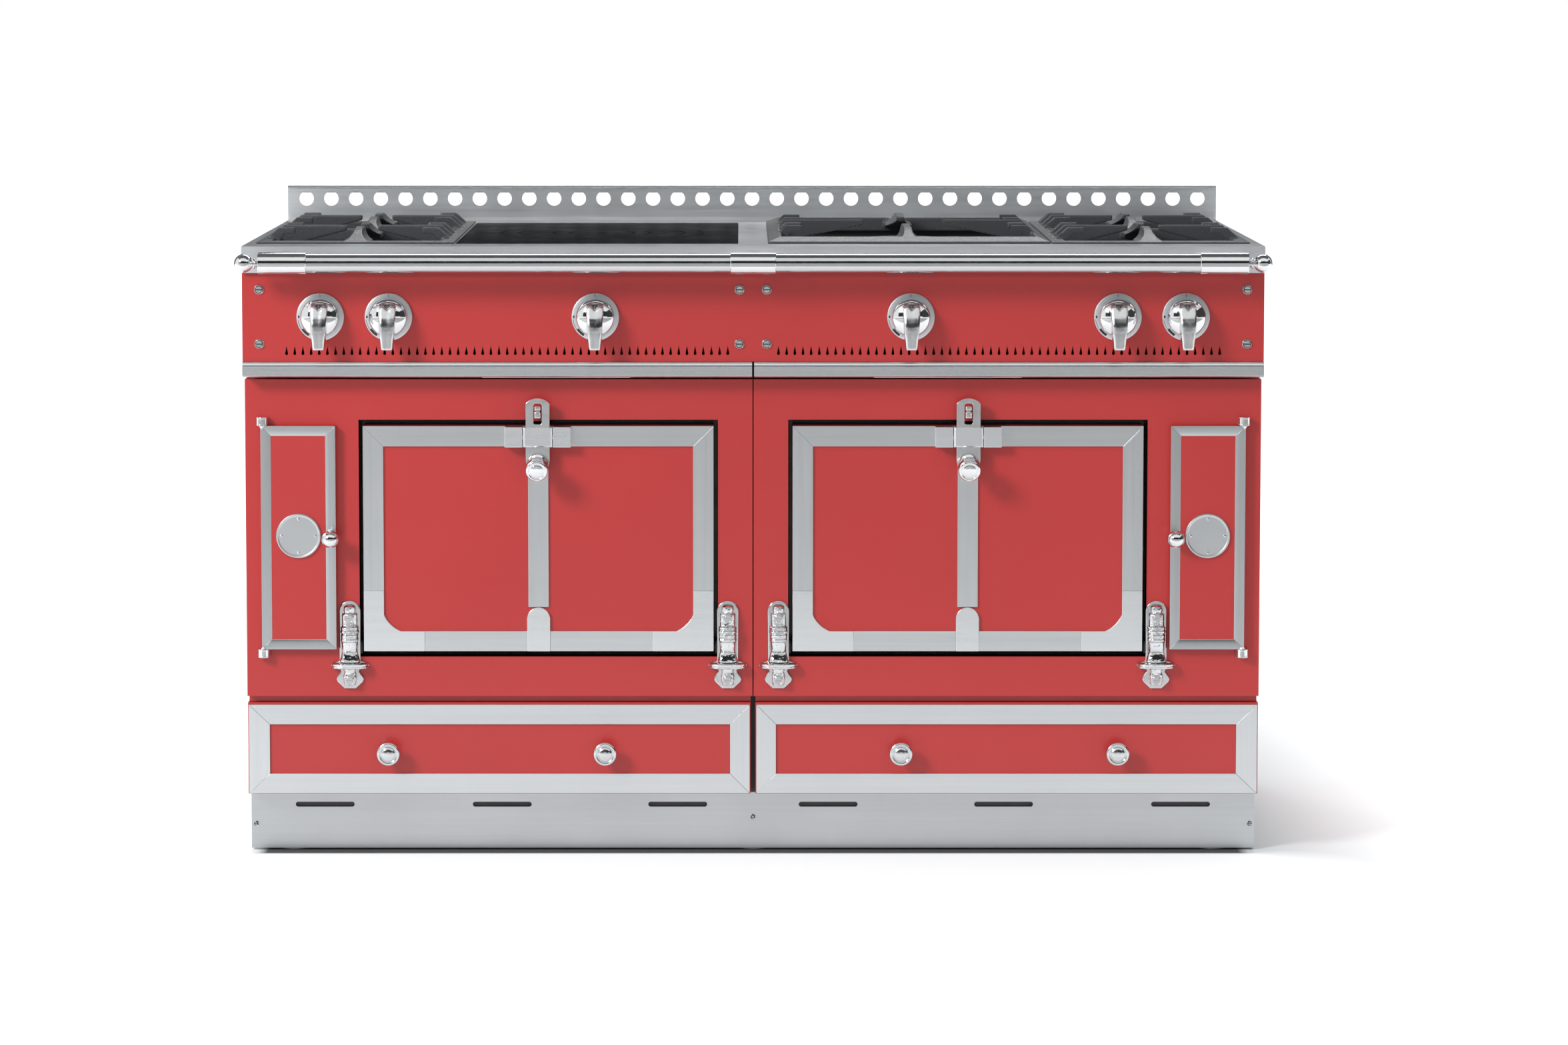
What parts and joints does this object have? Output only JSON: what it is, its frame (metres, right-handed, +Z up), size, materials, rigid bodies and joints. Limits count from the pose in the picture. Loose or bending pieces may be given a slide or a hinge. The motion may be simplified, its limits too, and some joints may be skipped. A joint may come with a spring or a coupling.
{
  "type": "range cooker",
  "caption": "Wide free-standing range cooker with twin drop-down ovens, cast pan supports, a flush hot plate, lever knobs, a towel rail, side doors, drawers and a pierced backguard.",
  "frame": {"origin": "middle of the footprint at floor level, under the centre of the bounding box", "axes": "+X to the viewer's right along the front, +Y to the back wall, +Z up; the doors face -Y"},
  "size_m": [1.5099, 0.761, 0.966],
  "materials": {
    "enamel_red": "satin enamel",
    "brushed_steel": "brushed",
    "trim_steel": "fine brushed",
    "polished_steel": "semi-polished",
    "chrome": "polished",
    "cast_iron": "matt, slightly grainy",
    "hot_plate": "machined",
    "black_enamel": "satin black enamel",
    "brass": "satin",
    "grey_frame": "grey primer",
    "galvanised": "galvanised",
    "plated_wire": "plated wire",
    "knob_black": "matt black"
  },
  "bodies": {
    "cooker": {"base_frame": "grey_frame", "leveling_feet": "galvanised", "plinth": "brushed_steel", "casing_panels": "enamel_red", "oven_front_left": "enamel_red", "oven_front_right": "enamel_red", "control_panel": "enamel_red", "front_screws": "chrome", "front_mouldings": "trim_steel", "hob_top": "brushed_steel", "backguard": "brushed_steel", "burner_heads": "brass", "burner_caps": "black_enamel", "gas_manifold": "galvanised", "gas_pipes": "galvanised", "towel_rail": "chrome", "knob_bezels": "brushed_steel", "oven_liner_left": "black_enamel", "oven_liner_right": "black_enamel", "oven_racks": "plated_wire", "oven_elements": "black_enamel", "door_hinges": "chrome", "latch_keepers": "polished_steel", "drawer_runners": "galvanised", "control_niches": "grey_frame"},
    "spindle_1": {"spindle_1": "polished_steel"},
    "knob_1": {"knob_1": "chrome"},
    "spindle_2": {"spindle_2": "polished_steel"},
    "knob_2": {"knob_2": "chrome"},
    "spindle_3": {"spindle_3": "polished_steel"},
    "knob_3": {"knob_3": "chrome"},
    "spindle_4": {"spindle_4": "polished_steel"},
    "knob_4": {"knob_4": "chrome"},
    "spindle_5": {"spindle_5": "polished_steel"},
    "knob_5": {"knob_5": "chrome"},
    "spindle_6": {"spindle_6": "polished_steel"},
    "knob_6": {"knob_6": "chrome"},
    "oven_door_left": {"oven_door_left": "enamel_red", "door_straps_left": "brushed_steel"},
    "latch_left": {"latch_left": "chrome"},
    "side_door_left": {"side_door_left": "enamel_red", "side_trim_left": "brushed_steel"},
    "drawer_left": {"drawer_box_left": "galvanised", "drawer_front_left": "enamel_red", "drawer_trim_left": "brushed_steel"},
    "thermostat_knob_left": {"thermostat_knob_left": "knob_black"},
    "oven_door_right": {"oven_door_right": "enamel_red", "door_straps_right": "brushed_steel"},
    "latch_right": {"latch_right": "chrome"},
    "side_door_right": {"side_door_right": "enamel_red", "side_trim_right": "brushed_steel"},
    "drawer_right": {"drawer_box_right": "galvanised", "drawer_front_right": "enamel_red", "drawer_trim_right": "brushed_steel"},
    "thermostat_knob_right": {"thermostat_knob_right": "knob_black"},
    "grate_left": {"grate_left": "cast_iron"},
    "grate_large": {"grate_large": "cast_iron"},
    "grate_right": {"grate_right": "cast_iron"},
    "hot_plate": {"hot_plate": "hot_plate"},
    "hot_plate_lid": {"hot_plate_lid": "hot_plate"}
  },
  "joints": [
    {"name": "knob_1_turn", "type": "hinge", "parent": "cooker", "child": "spindle_1", "pos_m": [-0.635, -0.3195, 0.806], "axis": [0, -1, 0], "range_deg": [0, 210]},
    {"name": "knob_1_push", "type": "slide", "parent": "spindle_1", "child": "knob_1", "axis": [0, 1, 0], "range_m": [0, 0.003], "stiffness_N_per_m": 800, "springref_m": -0.002},
    {"name": "knob_2_turn", "type": "hinge", "parent": "cooker", "child": "spindle_2", "pos_m": [-0.535, -0.3195, 0.806], "axis": [0, -1, 0], "range_deg": [0, 210]},
    {"name": "knob_2_push", "type": "slide", "parent": "spindle_2", "child": "knob_2", "axis": [0, 1, 0], "range_m": [0, 0.003], "stiffness_N_per_m": 800, "springref_m": -0.002},
    {"name": "knob_3_turn", "type": "hinge", "parent": "cooker", "child": "spindle_3", "pos_m": [-0.2315, -0.3195, 0.806], "axis": [0, -1, 0], "range_deg": [0, 210]},
    {"name": "knob_3_push", "type": "slide", "parent": "spindle_3", "child": "knob_3", "axis": [0, 1, 0], "range_m": [0, 0.003], "stiffness_N_per_m": 800, "springref_m": -0.002},
    {"name": "knob_4_turn", "type": "hinge", "parent": "cooker", "child": "spindle_4", "pos_m": [0.2315, -0.3195, 0.806], "axis": [0, -1, 0], "range_deg": [0, 210]},
    {"name": "knob_4_push", "type": "slide", "parent": "spindle_4", "child": "knob_4", "axis": [0, 1, 0], "range_m": [0, 0.003], "stiffness_N_per_m": 800, "springref_m": -0.002},
    {"name": "knob_5_turn", "type": "hinge", "parent": "cooker", "child": "spindle_5", "pos_m": [0.535, -0.3195, 0.806], "axis": [0, -1, 0], "range_deg": [0, 210]},
    {"name": "knob_5_push", "type": "slide", "parent": "spindle_5", "child": "knob_5", "axis": [0, 1, 0], "range_m": [0, 0.003], "stiffness_N_per_m": 800, "springref_m": -0.002},
    {"name": "knob_6_turn", "type": "hinge", "parent": "cooker", "child": "spindle_6", "pos_m": [0.635, -0.3195, 0.806], "axis": [0, -1, 0], "range_deg": [0, 210]},
    {"name": "knob_6_push", "type": "slide", "parent": "spindle_6", "child": "knob_6", "axis": [0, 1, 0], "range_m": [0, 0.003], "stiffness_N_per_m": 800, "springref_m": -0.002},
    {"name": "oven_door_left_hinge", "type": "hinge", "parent": "cooker", "child": "oven_door_left", "pos_m": [-0.31725, -0.2795, 0.3125], "axis": [1, 0, 0], "range_deg": [0, 90]},
    {"name": "latch_left_rock", "type": "hinge", "parent": "oven_door_left", "child": "latch_left", "pos_m": [-0.31725, -0.3015, 0.6275], "axis": [1, 0, 0], "range_deg": [0, 8], "stiffness_Nm_per_rad": 2, "springref_deg": -17.19},
    {"name": "side_door_left_hinge", "type": "hinge", "parent": "cooker", "child": "side_door_left", "pos_m": [-0.724, -0.2925, 0.4775], "axis": [0, 0, -1], "range_deg": [0, 110]},
    {"name": "drawer_left_slide", "type": "slide", "parent": "cooker", "child": "drawer_left", "axis": [0, -1, 0], "range_m": [0, 0.4]},
    {"name": "thermostat_left_turn", "type": "hinge", "parent": "cooker", "child": "thermostat_knob_left", "pos_m": [-0.671, -0.1735, 0.4775], "axis": [0, -1, 0], "range_deg": [0, 270]},
    {"name": "oven_door_right_hinge", "type": "hinge", "parent": "cooker", "child": "oven_door_right", "pos_m": [0.31725, -0.2795, 0.3125], "axis": [1, 0, 0], "range_deg": [0, 90]},
    {"name": "latch_right_rock", "type": "hinge", "parent": "oven_door_right", "child": "latch_right", "pos_m": [0.31725, -0.3015, 0.6275], "axis": [1, 0, 0], "range_deg": [0, 8], "stiffness_Nm_per_rad": 2, "springref_deg": -17.19},
    {"name": "side_door_right_hinge", "type": "hinge", "parent": "cooker", "child": "side_door_right", "pos_m": [0.724, -0.2925, 0.4775], "axis": [0, 0, 1], "range_deg": [0, 110]},
    {"name": "drawer_right_slide", "type": "slide", "parent": "cooker", "child": "drawer_right", "axis": [0, -1, 0], "range_m": [0, 0.4]},
    {"name": "thermostat_right_turn", "type": "hinge", "parent": "cooker", "child": "thermostat_knob_right", "pos_m": [0.671, -0.1735, 0.4775], "axis": [0, -1, 0], "range_deg": [0, 270]},
    {"name": "grate_left_lift", "type": "slide", "parent": "cooker", "child": "grate_left", "axis": [0, 0, 1], "range_m": [0, 0.05]},
    {"name": "grate_large_lift", "type": "slide", "parent": "cooker", "child": "grate_large", "axis": [0, 0, 1], "range_m": [0, 0.05]},
    {"name": "grate_right_lift", "type": "slide", "parent": "cooker", "child": "grate_right", "axis": [0, 0, 1], "range_m": [0, 0.05]},
    {"name": "hot_plate_lift", "type": "slide", "parent": "cooker", "child": "hot_plate", "axis": [0, 0, 1], "range_m": [0, 0.05]},
    {"name": "hot_plate_lid_lift", "type": "slide", "parent": "hot_plate", "child": "hot_plate_lid", "axis": [0, 0, 1], "range_m": [0, 0.05]}
  ]
}
